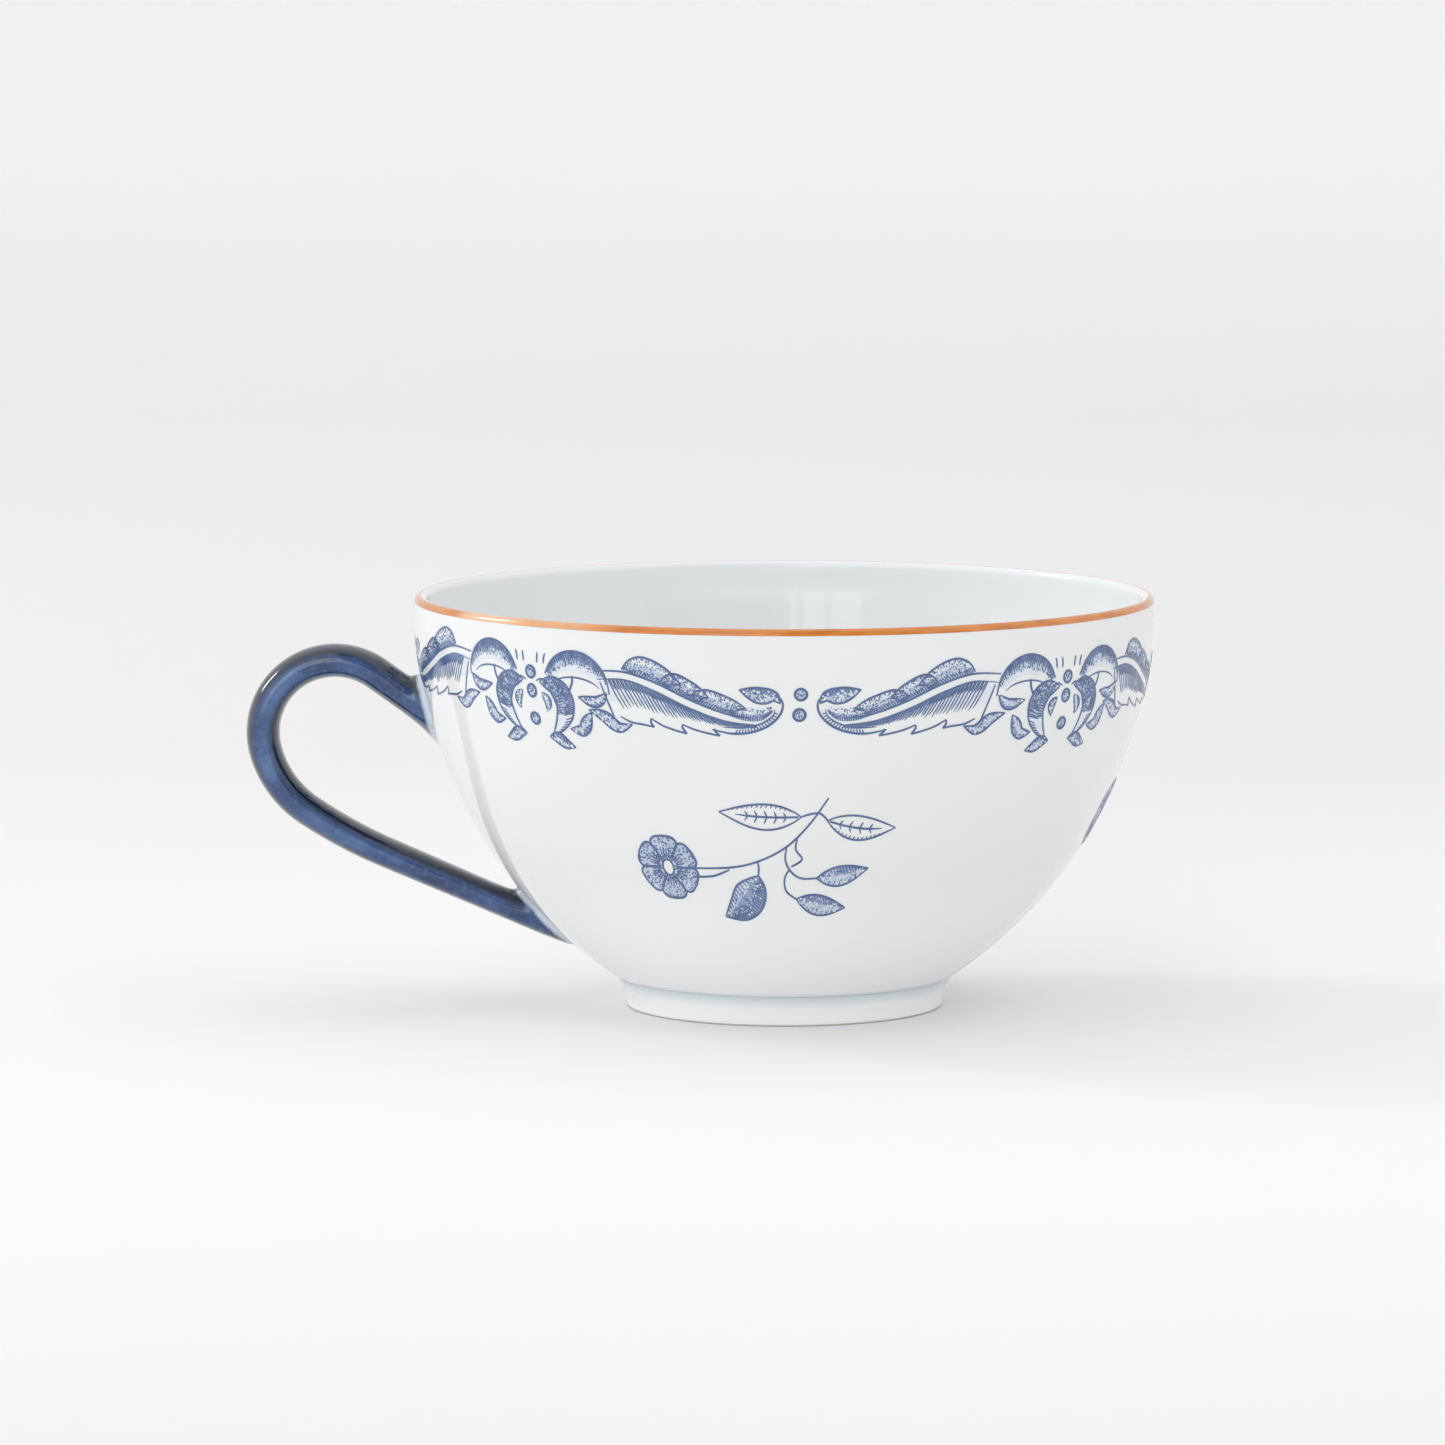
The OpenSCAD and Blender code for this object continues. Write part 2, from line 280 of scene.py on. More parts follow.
def bump(nodes, links, shader, height, distance, strength):
    node = nodes.new("ShaderNodeBump")
    node.inputs["Strength"].default_value = strength
    node.inputs["Distance"].default_value = distance
    links.new(height, node.inputs["Height"])
    links.new(node.outputs["Normal"], shader.inputs["Normal"])


def position(nodes, links, coordinates="Object"):
    """The X, Y and Z outputs of a point's coordinates."""
    place = nodes.new("ShaderNodeTexCoord")
    axes = nodes.new("ShaderNodeSeparateXYZ")
    links.new(place.outputs[coordinates], axes.inputs["Vector"])
    return axes.outputs


def span(nodes, links, value, low, high):
    """0 where value is at or below low, 1 where it is at or above high."""
    node = nodes.new("ShaderNodeMapRange")
    node.inputs["From Min"].default_value = low
    node.inputs["From Max"].default_value = high
    links.new(value, node.inputs["Value"])
    return node.outputs["Result"]


def height_span(nodes, links, low, high):
    """span of the height, in millimetres."""
    return span(nodes, links, position(nodes, links)["Z"], low * MM, high * MM)


# the first white is painted light: the lower wall's white, lightened as if lit from the floor below
FLOOR_LIT_WHITE = (0.945, 0.957, 0.960)
UPPER_WHITE = (0.815, 0.831, 0.834)
UPPER_WARM = (0.80, 0.812, 0.808)
POOLED_GLAZE = (0.60, 0.70, 0.75)


def porcelain_material():
    """White glaze with a faint blue cast, bluer where it pools above the foot. Painted light: from
    the upper wall down to the foot it is painted whiter, standing in for light thrown up from the
    floor."""
    material, nodes, links, shader = new_material("porcelain")
    cloud = noise(nodes, links, 28, 3)
    thin = mix(nodes, links, cloud, UPPER_WHITE, UPPER_WARM)
    # painted light: whiter from 24 mm down, fully at 5 mm and below, as if lit from the floor
    white = mix(nodes, links, height_span(nodes, links, 5, 24), FLOOR_LIT_WHITE, thin)
    pool = ramp(nodes, links, height_span(nodes, links, CREASE_Z - 1.8, CREASE_Z + 0.6), [
        (0.0, grey(0)), (0.45, grey(0.55)), (0.7, grey(0.8)), (1.0, grey(0)),
    ])
    links.new(mix(nodes, links, pool, white, POOLED_GLAZE), shader.inputs["Base Color"])
    shader.inputs["Subsurface Weight"].default_value = 0.12
    shader.inputs["Subsurface Radius"].default_value = (1.0, 0.95, 0.9)
    shader.inputs["Subsurface Scale"].default_value = 0.0015
    glaze(shader, 0.06, 0.0, 1.44)
    bump(nodes, links, shader, noise(nodes, links, 160, 2), 0.00005, 0.15)
    return material


def bare_clay_material():
    """The foot's standing edge, wiped clean of glaze: matt and a little warmer."""
    material, nodes, links, shader = new_material("bare_clay")
    grain = noise(nodes, links, 2600, 4)
    clay = mix(nodes, links, grain, (0.78, 0.76, 0.72), (0.66, 0.64, 0.60))
    links.new(clay, shader.inputs["Base Color"])
    shader.inputs["Roughness"].default_value = 0.85
    bump(nodes, links, shader, grain, 0.0001, 0.5)
    return material


def attribute(nodes, name):
    """A value that the mesh carries at each of its points."""
    node = nodes.new("ShaderNodeAttribute")
    node.attribute_name = name
    return node.outputs["Fac"]


def added(nodes, links, value, extra, share):
    """value with a share of extra, a noise, added to it."""
    node = nodes.new("ShaderNodeMath")
    node.operation = "MULTIPLY_ADD"
    node.inputs[1].default_value = share
    links.new(extra, node.inputs[0])
    links.new(value, node.inputs[2])
    return node.outputs["Value"]


def handle_material():
    """Brushed cobalt glaze: blue and streaky on the two broad sides, and fading to the white body
    at the wall. Along the narrow edges it is painted nearly black, partly for thicker glaze and
    partly as painted shade, and darker again where they face up, which is painted shade."""
    material, nodes, links, shader = new_material("handle_blue")
    streaks = noise(nodes, links, 130, 5, (1.0, 2.5, 1.0))
    specks = noise(nodes, links, 1100, 3)
    broad = ramp(nodes, links, streaks, [
        (0.30, (0.008, 0.026, 0.088)), (0.50, (0.025, 0.070, 0.205)), (0.70, (0.080, 0.158, 0.345)),
    ])
    specked = ramp(nodes, links, specks, [(0.52, grey(0)), (0.78, grey(0.45))])
    speckled = mix(nodes, links, specked, broad, (0.120, 0.200, 0.380))
    # painted shade: the edge value, partly thicker glaze, darkens the narrow sides and the
    # up-facing parts nearly to black
    rim = added(nodes, links, attribute(nodes, "edge"), streaks, 0.5)
    thick_glaze_and_shade = ramp(nodes, links, rim, [(0.50, grey(0)), (0.78, grey(0.50)), (0.95, grey(0.96))])
    blue = mix(nodes, links, thick_glaze_and_shade, speckled, (0.005, 0.013, 0.030))
    ragged = added(nodes, links, attribute(nodes, "fade"), noise(nodes, links, 420, 3), 0.5)
    thin = ramp(nodes, links, ragged, [(0.66, grey(0)), (0.84, grey(0.45)), (1.0, grey(0.9))])
    links.new(mix(nodes, links, thin, blue, (0.62, 0.70, 0.80)), shader.inputs["Base Color"])
    glaze(shader, 0.12, 0.5)
    bump(nodes, links, shader, streaks, 0.0001, 0.2)
    return material


def bearing(nodes, links, coordinates="Object"):
    """0 to 1 round the upright axis: 0.25 is to the left (-X), 0.5 the front (-Y) and
    0.75 the right."""
    axes = position(nodes, links, coordinates)
    toward = nodes.new("ShaderNodeMath")
    toward.operation = "MULTIPLY"
    toward.inputs[1].default_value = -1
    angle = nodes.new("ShaderNodeMath")
    angle.operation = "ARCTAN2"
    links.new(axes["Y"], toward.inputs[0])
    links.new(axes["X"], angle.inputs[0])
    links.new(toward.outputs["Value"], angle.inputs[1])
    return span(nodes, links, angle.outputs["Value"], -math.pi, math.pi)


def lip_material():
    """The painted line: orange-brown, laid on by brush, with a painted glint and a paler stretch
    left of the front, and paler again at the right back.
    """
    material, nodes, links, shader = new_material("lip_orange")
    brush = noise(nodes, links, 240, 4, (1, 1, 6))
    colour = ramp(nodes, links, brush, [
        (0.25, (0.48, 0.142, 0.016)), (0.5, (0.63, 0.202, 0.026)), (0.8, (0.72, 0.275, 0.058)),
    ])
    around = added(nodes, links, bearing(nodes, links), brush, 0.012)
    # painted highlight: from about 59 to 45 degrees left of the front a painted glint, then to
    # about 23 degrees a paler stretch, partly thinner paint and partly painted reflection; paler
    # again from about 108 to 133 degrees to the right
    glint_and_pale_paint = ramp(nodes, links, around, [
        (0.335, grey(0)), (0.350, grey(0.80)), (0.374, grey(0.85)), (0.390, grey(0.50)),
        (0.415, grey(0.45)), (0.435, grey(0)), (0.80, grey(0)), (0.83, grey(0.5)), (0.87, grey(0)),
    ])
    links.new(mix(nodes, links, glint_and_pale_paint, colour, (0.84, 0.52, 0.32)), shader.inputs["Base Color"])
    glaze(shader, 0.12, 0.3)
    bump(nodes, links, shader, brush, 0.00005, 0.2)
    return material


def print_material(name, dark, light, scale):
    """Printed blue under the glaze, a little uneven in strength."""
    material, nodes, links, shader = new_material(name)
    uneven = ramp(nodes, links, noise(nodes, links, scale, 3), [(0.3, dark), (0.7, light)])
    links.new(uneven, shader.inputs["Base Color"])
    glaze(shader)
    return material


MATERIALS = {
    "porcelain": porcelain_material(),
    "bare": bare_clay_material(),
    "handle": handle_material(),
    "lip": lip_material(),
    "ink": print_material("print_ink", (0.060, 0.108, 0.245), (0.110, 0.172, 0.325), 400),
    "mid": print_material("print_mid", (0.205, 0.285, 0.460), (0.300, 0.380, 0.550), 500),
    "wash": print_material("print_wash", (0.42, 0.50, 0.64), (0.54, 0.61, 0.72), 400),
    "pale": print_material("print_pale", (0.66, 0.71, 0.79), (0.74, 0.78, 0.84), 400),
}


# ---- the white pieces ----

def lip_arc(extra, start, stop, steps):
    """Points over the lip's rounded crest, extra outside it."""
    r = LIP_R + extra
    return [
        (RIM_R - LIP_R + r * math.cos(rad(a)), CUP_H - LIP_R + r * math.sin(rad(a)))
        for a in (start + (stop - start) * k / steps for k in range(steps + 1))
    ]


def bowl():
    """One closed shell: over the lip, down the outside, under the floor and back up."""
    outer = outer_rows()
    inner = [
        (r - wall_thickness(a) * math.cos(a), z + wall_thickness(a) * math.sin(a), a)
        for r, z, a in outer
    ]
    r, z, lean = inner[-1]
    floor = [
        along(r, z, lean, FLOOR_R, lean + (math.pi / 2 - lean) * k / FLOOR_STEPS)
        for k in range(1, FLOOR_STEPS + 1)
    ]
    flat_r, flat_z = floor[-1]
    floor += [(flat_r * k / 6, flat_z) for k in (5, 4, 3, 2, 1)]
    hollow_r = FOOT_R - FOOT_W - FOOT_DRAFT
    under = [
        (hollow_r * k / 10, RECESS_H + RECESS_DOME * (1 - (k / 10) ** 2))
        for k in range(10, 0, -1)
    ]
    outline = (
        lip_arc(0, 170, 10, 16)
        + [(r, z) for r, z, _ in outer]
        + under
        + [(0, RECESS_H + RECESS_DOME), (0, flat_z)]
        + floor[::-1]
        + [(r, z) for r, z, _ in inner[::-1]]
    )
    piece = lathe("bowl_body", outline, [MATERIALS["porcelain"]])
    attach(piece, "root")
    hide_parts("bowl")


def foot_ring():
    """The turned ring under the bowl, bare on the edge that it stands on."""
    def rounded(r, side):
        return [
            (r - side * FOOT_EDGE_R * (1 - math.cos(rad(a))), FOOT_EDGE_R * (1 - math.sin(rad(a))))
            for a in range(15, 91, 15)
        ]

    cove = []
    for k in range(17):
        t = k / 16
        cove.append((
            CREASE_R - FOOT_WAIST * (1 - (1 - t) ** 2),
            CREASE_Z - (CREASE_Z - FOOT_EDGE_R) * t,
        ))
    inner_r = FOOT_R - FOOT_W
    inside = [
        (inner_r, FOOT_EDGE_R),
        (inner_r - FOOT_DRAFT / 2, RECESS_H * 0.6),
        (inner_r - FOOT_DRAFT, RECESS_H),
    ]
    outline = cove + rounded(FOOT_R, 1) + rounded(inner_r, -1)[::-1] + inside
    piece = lathe("foot_ring_turned", outline, [MATERIALS["porcelain"], MATERIALS["bare"]])
    for face in piece.data.polygons:
        if face.center.z < FOOT_EDGE_R * 0.55 * MM:
            face.material_index = 1
    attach(piece, "root")
    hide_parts("foot_ring")


def lip_line():
    """The painted line over the lip: its edges waver a little, as a brush does."""
    rng = random.Random(5)
    waves = [(k, rng.uniform(0.004, 0.012), rng.uniform(0, 6.28)) for k in (3, 5, 9, 17, 31, 53)]
    segments, crest = 360, 12
    paint, inward = 0.015, -0.10    # the line's outer and inner skin, outside the lip
    first, last = 8, 85             # degrees of the lip's crest that it covers
    verts, faces = [], []
    for s in range(segments):
        a = 2 * math.pi * s / segments
        waver = sum(size * math.sin(k * a + at) for k, size, at in waves)
        low = CUP_H - LIP_R + 0.08 - waver
        ring = [(RIM_R + paint, low), (RIM_R + paint, low / 2 + (CUP_H - LIP_R) / 2)]
        ring += lip_arc(paint, first, last + 60 * waver, crest)
        ring += lip_arc(inward, first, last - 2 + 60 * waver, crest)[::-1]
        ring.append((RIM_R + inward, low + 0.02))
        verts += [(r * math.cos(a), r * math.sin(a), z) for r, z in ring]
    n = len(verts) // segments
    for s in range(segments):
        t = (s + 1) % segments
        for k in range(n):
            m = (k + 1) % n
            faces.append((s * n + k, t * n + k, t * n + m, s * n + m))
    piece = mesh_object("lip_line_painted", verts, faces, [MATERIALS["lip"]])
    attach(piece, "root")
    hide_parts("rim_line")


# ---- the handle ----

def swing(p, r, heading):
    """The path point reached from p by a curve of radius r that ends at a heading."""
    return (
        p[0] + r * (math.sin(rad(heading)) - math.sin(rad(p[2]))),
        p[1] - r * (math.cos(rad(heading)) - math.cos(rad(p[2]))),
        heading,
    )


def step(p, d):
    """The path point d further straight on from p."""
    return (p[0] + d * math.cos(rad(p[2])), p[1] + d * math.sin(rad(p[2])), p[2])


def handle_path():
    """Path points (x, z, heading, share of the thinning done)."""
    end = 360 - LOWER_SLOPE
    loop_in = (
        LOOP_R * math.cos(rad(90 - UPPER_SLOPE)) - LOOP_X,
        LOOP_Z + LOOP_R * math.sin(rad(90 - UPPER_SLOPE)),
        180 - UPPER_SLOPE,
    )
    elbow_in = swing(loop_in, LOOP_R, ELBOW_START)
    sweep_in = swing(elbow_in, ELBOW_R, SWEEP_START)
    lower_in = swing(sweep_in, SWEEP_R, end)
    points = [step(loop_in, UPPER_L * (k / UPPER_STEPS - 1)) for k in range(UPPER_STEPS)]
    for at, r, heading, n in (
        (loop_in, LOOP_R, ELBOW_START, LOOP_STEPS),
        (elbow_in, ELBOW_R, SWEEP_START, BEND_STEPS),
        (sweep_in, SWEEP_R, end, BEND_STEPS),
    ):
        points += [swing(at, r, at[2] + (heading - at[2]) * k / n) for k in range(n)]
    points += [step(lower_in, LOWER_L * k / BEND_STEPS) for k in range(BEND_STEPS + 1)]
    first, last = UPPER_STEPS + LOOP_STEPS, len(points) - 1
    return [(*p, max(0.0, (i - first) / (last - first))) for i, p in enumerate(points)]


def handle_ring(x, z, heading, thin):
    """An oval section, a little flatter than an ellipse on its two broad faces."""
    half_t = (HANDLE_T + (HANDLE_LOW_T - HANDLE_T) * thin) / 2
    ring = []
    for k in range(HANDLE_SIDES):
        a = 2 * math.pi * k / HANDLE_SIDES
        c, s = math.cos(a), math.sin(a)
        t = half_t * math.copysign(abs(c) ** 0.9, c)
        w = HANDLE_W / 2 * math.copysign(abs(s) ** 0.95, s)
        ring.append(Vector((x - t * math.sin(rad(heading)), w, z + t * math.cos(rad(heading)))))
    return ring


def wall_gap(p):
    """How far the point p stands off the outer wall."""
    r, lean = wall_at(p.z)
    return (math.hypot(p.x, p.y) - r) * math.cos(lean)


def wall_ring(low, high, up):
    """The joint's edge on the wall, a closed oval from the height low to the height high.
    up is 1 where the handle's inner side meets the oval's top, and -1 for its bottom."""
    mid, half = (low + high) / 2, (high - low) / 2
    ring = []
    for k in range(HANDLE_SIDES):
        b = 2 * math.pi * k / HANDLE_SIDES
        z = mid + up * half * math.cos(b)
        r, lean = wall_at(z)
        y = (HANDLE_W / 2 + ROOT_FLARE) * math.sin(b)
        r -= ROOT_SUNK * math.cos(lean)
        ring.append(Vector((-math.sqrt(r * r - y * y), y, z + ROOT_SUNK * math.sin(lean))))
    return ring


def joint_rings(a, b, heading, hold):
    """Rings from the handle's end a to the wall ring b. Each side runs straight along
    the handle until it is hold away from the wall, then turns out along the wall."""
    advance = 0.05 * Vector((math.cos(rad(heading)), 0, math.sin(rad(heading))))
    sharpness = 0.85         # of the turn: 1 would be nearly a corner
    bends = []
    for p in a:
        bend = p.copy()
        while wall_gap(bend) > hold:
            bend += advance
        bends.append(bend)
    rings = []
    for i in range(1, JOINT_STEPS + 1):
        t = i / JOINT_STEPS
        rings.append([
            p * (1 - t) ** 3 + p.lerp(bend, sharpness) * 3 * t * (1 - t) ** 2
            + bend * 3 * t * t * (1 - t) + q * t ** 3
            for p, bend, q in zip(a, bends, b)
        ])
    return rings


def loft_piece(name, rings, normals, fades, node, slot):
    """One closed piece through its rings, with the normals of the whole handle so that the pieces
    shade as one surface. Its points carry how dark the glaze is painted (edge: most on the two
    narrow sides, partly for thicker glaze and partly as painted shade, and more where they face up,
    as painted shade) and how far it has faded (fade)."""
    n = HANDLE_SIDES
    verts = [p for ring in rings for p in ring]
    faces = [
        (i * n + k, (i + 1) * n + k, (i + 1) * n + (k + 1) % n, i * n + (k + 1) % n)
        for i in range(len(rings) - 1) for k in range(n)
    ]
    caps = len(faces)
    faces.append(tuple(range(n)))
    faces.append(tuple(reversed(range((len(rings) - 1) * n, len(rings) * n))))
    piece = mesh_object(name, verts, faces, [MATERIALS["handle"]])
    mesh = piece.data
    fade = mesh.attributes.new("fade", "FLOAT", "POINT")
    fade.data.foreach_set("value", [f for ring in fades for f in ring])
    # edge: most on the narrow sides, partly thicker glaze and partly painted shade; the share added
    # where the surface faces up is painted shade
    edge = mesh.attributes.new("edge", "FLOAT", "POINT")
    edge.data.foreach_set("value", [
        abs(math.cos(2 * math.pi * k / n)) + 0.25 * row[k].z for row in normals for k in range(n)
    ])
    flat = [p for ring in normals for p in ring]
    loops = []
    for face in mesh.polygons:
        on_side = face.index < caps
        loops += [flat[v] if on_side else face.normal for v in face.vertices]
    mesh.normals_split_custom_set(loops)
    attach(piece, "root")
    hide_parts(node)


def handle():
    """The loop handle and the two slip joints, cut from one continuous sweep."""
    middle = [handle_ring(*p) for p in handle_path()]
    upper = joint_rings(middle[0], wall_ring(*UPPER_ROOT, -1), -UPPER_SLOPE, UPPER_HOLD)[::-1]
    lower = joint_rings(middle[-1], wall_ring(*LOWER_ROOT, 1), -LOWER_SLOPE, LOWER_HOLD)
    rings = upper + middle + lower
    n = HANDLE_SIDES
    normals, fades = [], []
    for i, ring in enumerate(rings):
        before, after = rings[max(0, i - 1)], rings[min(len(rings) - 1, i + 1)]
        normals.append([
            (after[k] - before[k]).cross(ring[(k + 1) % n] - ring[k - 1]).normalized()
            for k in range(n)
        ])
        fades.append([max(0.0, 1 - wall_gap(p) / FADE_GAP) for p in ring])
    centre = sum(middle[0], Vector()) / n
    if normals[len(upper)][0].dot(middle[0][0] - centre) < 0:
        normals = [[-v for v in row] for row in normals]
    a, b = len(upper), len(upper) + len(middle) - 1
    for name, start, stop, node, slot in (
        ("handle_upper_joint", 0, a, "upper_joint", "joint_glaze"),
        ("handle_loop", a, b, "handle", "handle_glaze"),
        ("handle_lower_joint", b, len(rings) - 1, "lower_joint", "joint_glaze"),
    ):
        part = slice(start, stop + 1)
        loft_piece(name, rings[part], normals[part], fades[part], node, slot)


# ---- the printed artwork ----

PALE, WASH, MID, INK = 0, 1, 2, 3
TONES = ("pale", "wash", "mid", "ink")
LIFT = (0.015, 0.023, 0.031, 0.040)  # each tone's height above the wall
LIFT_STEP = 0.001        # between ink marks drawn one after another, so that none coincide
LIFT_STEPS = 17          # how many such heights there are, used in turn
SKIN = 0.08              # each mark's thickness, most of it under the glaze
CURVE_STEP = 0.5


def curve(points):
    """A smooth line through given points, sampled about every CURVE_STEP."""
    padded = [points[0], *points, points[-1]]
    line = []
    for i in range(1, len(padded) - 2):
        p0, p1, p2, p3 = padded[i - 1 : i + 3]
        n = max(2, math.ceil(math.dist(p1, p2) / CURVE_STEP))
        for k in range(n):
            t = k / n
            line.append(tuple(
                0.5 * (2 * b + (c - a) * t + (2 * a - 5 * b + 4 * c - d) * t * t
                       + (3 * b - a - 3 * c + d) * t ** 3)
                for a, b, c, d in zip(p0, p1, p2, p3)
            ))
    line.append(tuple(points[-1]))
    return line


def reach(line):
    """Length of a sampled line up to each of its points."""
    lengths = [0.0]
    for p, q in zip(line, line[1:]):
        lengths.append(lengths[-1] + math.dist(p, q))
    return lengths


class Transfer:
    """Collects one transfer's marks. Points are (x, depth) in unrolled millimetres."""

    def __init__(self, flip=1, shift=(0.0, 0.0)):
        self.verts, self.faces, self.tones = [], [], []
        self.marks = itertools.count()
        self.flip, self.shift = flip, shift

    def placed(self, flip, shift=(0.0, 0.0)):
        """The same sheet, drawn on with x mirrored or moved."""
        other = Transfer(flip, shift)
        other.verts, other.faces, other.tones = self.verts, self.faces, self.tones
        other.marks = self.marks
        return other

    def put(self, points, tone):
        """Adds points in a tone's layer and returns the first one's number."""
        first = len(self.verts)
        lift = LIFT[tone]
        if tone == INK:
            lift += LIFT_STEP * (next(self.marks) % LIFT_STEPS)
        for x, d in points:
            self.verts.append((x * self.flip + self.shift[0], d + self.shift[1], lift))
        return first

    def face(self, corners, tone):
        self.faces.append(tuple(corners) if self.flip > 0 else tuple(reversed(corners)))
        self.tones.append(tone)

    def stroke(self, points, width, start, end):
        """A line of ink whose ends thin to the given shares of its width."""
        line = curve(points)
        n = len(line)
        ribbon = []
        for i, p in enumerate(line):
            a, b = line[max(0, i - 1)], line[min(n - 1, i + 1)]
            d = max(1e-9, math.dist(a, b))
            t = i / (n - 1)
            half = width / 2 * min(1, start + (1 - start) * t * 4, end + (1 - end) * (1 - t) * 4)
            nx, ny = -(b[1] - a[1]) / d * half, (b[0] - a[0]) / d * half
            ribbon += [(p[0] + nx, p[1] + ny), (p[0] - nx, p[1] - ny)]
        first = self.put(ribbon, INK)
        for i in range(n - 1):
            k = first + 2 * i
            self.face((k, k + 2, k + 3, k + 1), INK)

    def dot(self, at, rx, ry=None, tone=INK, sides=6, layer=None):
        """A dot of one tone, which may lie in the layer of another."""
        ry = ry or rx
        angles = [2 * math.pi * k / sides for k in range(sides)]
        ring = [(at[0] + rx * math.cos(a), at[1] + ry * math.sin(a)) for a in angles]
        first = self.put(ring, tone if layer is None else layer)
        self.face(range(first + sides - 1, first - 1, -1), tone)

    def sheet(self, rows, tone):
        """A patch through rows of points, all of one length."""
        first = self.put([p for row in rows for p in row], tone)
        n = len(rows[0])
        i = len(rows) // 2
        (ax, ay), (bx, by), (cx, cy) = rows[i][0], rows[i][-1], rows[i + 1][0]
        turned = (cx - ax) * (by - ay) - (cy - ay) * (bx - ax) < 0
        for i in range(len(rows) - 1):
            for k in range(n - 1):
                a = first + i * n + k
                cell = (a, a + n, a + n + 1, a + 1)
                self.face(cell if turned else cell[::-1], tone)


class Patch:
    """The area between a base line and an outer line. Places on it are (u, v): u runs
    along both lines, and v is 0 on the base line and 1 on the outer line."""

    def __init__(self, base, outer):
        self.sides = [(line, reach(line)) for line in (curve(base), curve(outer))]

    def on(self, side, u):
        """The point at the share u of the base line (side 0) or the outer line (side 1)."""
        line, lengths = self.sides[side]
        want = min(1.0, max(0.0, u)) * lengths[-1]
        i = 0
        while i < len(line) - 2 and lengths[i + 1] < want:
            i += 1
        s = (want - lengths[i]) / max(1e-9, lengths[i + 1] - lengths[i])
        p, q = line[i], line[i + 1]
        return (p[0] + (q[0] - p[0]) * s, p[1] + (q[1] - p[1]) * s)

    def at(self, u, v):
        p, q = self.on(0, u), self.on(1, u)
        return (p[0] + (q[0] - p[0]) * v, p[1] + (q[1] - p[1]) * v)

    def fill(self, art, tone=WASH, v0=0.0, v1=1.0, u0=0.0, u1=1.0):
        """A flat tone between v0 and v1, from u0 to u1."""
        long = max(lengths[-1] for _, lengths in self.sides) * (u1 - u0)
        wide = max(math.dist(self.at(u, v0), self.at(u, v1)) for u in (0.3, 0.5, 0.7))
        n, m = max(3, math.ceil(long / 0.7)), max(1, math.ceil(wide / 0.9))
        art.sheet([
            [self.at(u0 + (u1 - u0) * i / n, v0 + (v1 - v0) * k / m) for k in range(m + 1)]
            for i in range(n + 1)
        ], tone)

    def edges(self, art, width, base=True):
        """Strokes along the outer line and, where asked, the base line."""
        for v in (1, 0) if base else (1,):
            art.stroke([self.at(u / 12, v) for u in range(13)], width, 0.6, 0.6)

    def stipple(self, art, rng, count, v0=0.08, v1=0.92, u0=0.03, u1=0.97, size=0.12, tone=INK):
        """Scattered specks, laid over the ink so that pale ones show."""
        for _ in range(count):
            at = self.at(rng.uniform(u0, u1), rng.uniform(v0, v1))
            art.dot(at, size * rng.uniform(0.7, 1.35), tone=tone, sides=5, layer=INK)

    def hatch(self, art, rng, count, v0, v1, u0, u1, slant, width, end=0.2, ragged=0.2):
        """Strokes across the patch from v0 towards v1, of slightly different lengths."""
        for k in range(count):
            u = u0 + (u1 - u0) * (k + 0.5) / count
            stop = v0 + (v1 - v0) * (1 - ragged * rng.random())
            middle = self.at(u + slant * 0.4, (v0 + stop) / 2)
            art.stroke([self.at(u, v0), middle, self.at(u + slant, stop)], width, 1.0, end)


def blade(spine, width, fat=0.45):
    """A leaf-shaped patch about a spine, widest at the share fat of its length. v is 1
    on its upper side where the spine runs to +x."""
    line = curve(spine)
    lengths = reach(line)
    bend = math.log(0.5) / math.log(fat)
    sides = ([], [])
    for k in range(11):
        want = lengths[-1] * k / 10
        i = min(len(line) - 2, sum(1 for v in lengths[1:] if v < want))
        (ax, ay), (bx, by) = line[i], line[i + 1]
        s = (want - lengths[i]) / (lengths[i + 1] - lengths[i])
        d = math.dist(line[i], line[i + 1])
        half = width / 2 * math.sin(math.pi * (k / 10) ** bend)
        for side, sign in zip(sides, (-1, 1)):
            side.append((
                ax + (bx - ax) * s - (by - ay) / d * half * sign,
                ay + (by - ay) * s + (bx - ax) / d * half * sign,
            ))
    return Patch(sides[1], sides[0])


def round_line(x, y, rx, ry):
    """A closed oval line about (x, y) whose ends overlap a little."""
    return [
        (x + rx * math.cos(rad(a)), y + ry * math.sin(rad(a))) for a in range(0, 376, 25)
    ]


def bead(art, rng, at, rx, ry):
    """A round bead: a pale disc inside a dark ring, with specks of shading."""
    art.dot(at, rx * 0.95, ry * 0.95, WASH, 14)
    art.stroke(round_line(*at, rx * 0.84, ry * 0.84), 0.38, 1.0, 1.0)
    for _ in range(10):
        art.dot((at[0] + rng.uniform(-0.5, 0.5) * rx, at[1] + rng.uniform(-0.5, 0.5) * ry), 0.13)


def shaded(art, rng, patch, count, dark, width=0.32):
    """A washed and outlined leaf, hatched from its upper side over the share dark and
    stippled all over."""
    patch.fill(art)
    patch.fill(art, MID, 1 - dark, 1.0, 0.06, 0.94)
    patch.edges(art, width)
    patch.hatch(art, rng, count, 0.97, 1 - dark, 0.05, 0.93, 0.03, 0.16 + 0.12 * dark, ragged=0.5)
    patch.hatch(art, rng, count // 2, 0.04, 0.3, 0.10, 0.88, 0.03, 0.17)
    patch.stipple(art, rng, count * 3, size=0.12)
    patch.stipple(art, rng, count * 3, 0.12, 0.88, 0.08, 0.92, 0.15, PALE)


